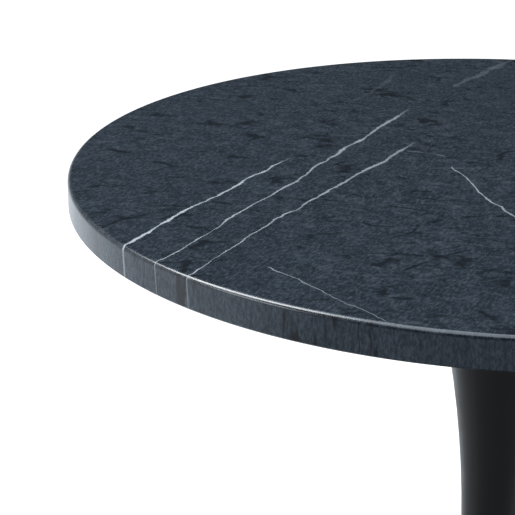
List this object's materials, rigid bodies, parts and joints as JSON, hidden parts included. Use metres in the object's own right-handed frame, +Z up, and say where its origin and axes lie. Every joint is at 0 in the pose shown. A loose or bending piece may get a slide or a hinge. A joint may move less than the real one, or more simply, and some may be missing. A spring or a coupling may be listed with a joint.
{
  "type": "round pedestal table",
  "caption": "Round stone-topped table on a slender trumpet pedestal with a wide, low, ballasted base, a rubber foot ring and screw-down levelling glides.",
  "frame": {"origin": "on the floor, at the centre of the foot ring, under the middle of the table top", "axes": "+Z up along the pedestal's axis; +X to the right and +Y away in the front view; the glides lie at 45 degrees to both"},
  "size_m": [0.5999, 0.6, 0.73],
  "materials": {
    "marble": "satin",
    "pedestal_lacquer": "satin",
    "brass": "satin",
    "black_rubber": "matte",
    "black_steel": "satin",
    "zinc_steel": "satin",
    "raw_iron": "matte",
    "black_nylon": "matte"
  },
  "bodies": {
    "table": {"marble_top": "marble", "insert_bushes": "brass", "top_gasket": "black_rubber", "mounting_plate": "black_steel", "plate_hub": "black_steel", "screw_washers": "zinc_steel", "plate_screws": "zinc_steel", "pedestal_casting": "pedestal_lacquer", "tie_rod": "zinc_steel", "hub_jam_nut": "zinc_steel", "ballast_weight": "raw_iron", "clamp_washer": "zinc_steel", "spring_washer": "zinc_steel", "rod_nut": "zinc_steel", "base_cover": "black_steel", "cover_screws": "zinc_steel", "foot_ring": "black_rubber", "glide_bushes": "brass"},
    "glide_foot_1": {"glide_pad_1": "black_nylon"},
    "glide_thread_1": {"glide_stud_1": "zinc_steel"},
    "glide_foot_2": {"glide_pad_2": "black_nylon"},
    "glide_thread_2": {"glide_stud_2": "zinc_steel"},
    "glide_foot_3": {"glide_pad_3": "black_nylon"},
    "glide_thread_3": {"glide_stud_3": "zinc_steel"},
    "glide_foot_4": {"glide_pad_4": "black_nylon"},
    "glide_thread_4": {"glide_stud_4": "zinc_steel"}
  },
  "joints": [
    {"name": "glide_1_travel", "type": "slide", "parent": "table", "child": "glide_foot_1", "axis": [0, 0, -1], "range_m": [0, 0.005]},
    {"name": "glide_1_turn", "type": "hinge", "parent": "glide_foot_1", "child": "glide_thread_1", "pos_m": [0.10607, 0.10607, 0.009], "axis": [0, 0, -1], "range_deg": [0, 1440]},
    {"name": "glide_2_travel", "type": "slide", "parent": "table", "child": "glide_foot_2", "axis": [0, 0, -1], "range_m": [0, 0.005]},
    {"name": "glide_2_turn", "type": "hinge", "parent": "glide_foot_2", "child": "glide_thread_2", "pos_m": [-0.10607, 0.10607, 0.009], "axis": [0, 0, -1], "range_deg": [0, 1440]},
    {"name": "glide_3_travel", "type": "slide", "parent": "table", "child": "glide_foot_3", "axis": [0, 0, -1], "range_m": [0, 0.005]},
    {"name": "glide_3_turn", "type": "hinge", "parent": "glide_foot_3", "child": "glide_thread_3", "pos_m": [-0.10607, -0.10607, 0.009], "axis": [0, 0, -1], "range_deg": [0, 1440]},
    {"name": "glide_4_travel", "type": "slide", "parent": "table", "child": "glide_foot_4", "axis": [0, 0, -1], "range_m": [0, 0.005]},
    {"name": "glide_4_turn", "type": "hinge", "parent": "glide_foot_4", "child": "glide_thread_4", "pos_m": [0.10607, -0.10607, 0.009], "axis": [0, 0, -1], "range_deg": [0, 1440]}
  ],
  "couplings": [
    {"joint": "glide_1_turn", "follows": "glide_1_travel", "rad_per_m": 5026.5},
    {"joint": "glide_2_turn", "follows": "glide_2_travel", "rad_per_m": 5026.5},
    {"joint": "glide_3_turn", "follows": "glide_3_travel", "rad_per_m": 5026.5},
    {"joint": "glide_4_turn", "follows": "glide_4_travel", "rad_per_m": 5026.5}
  ]
}
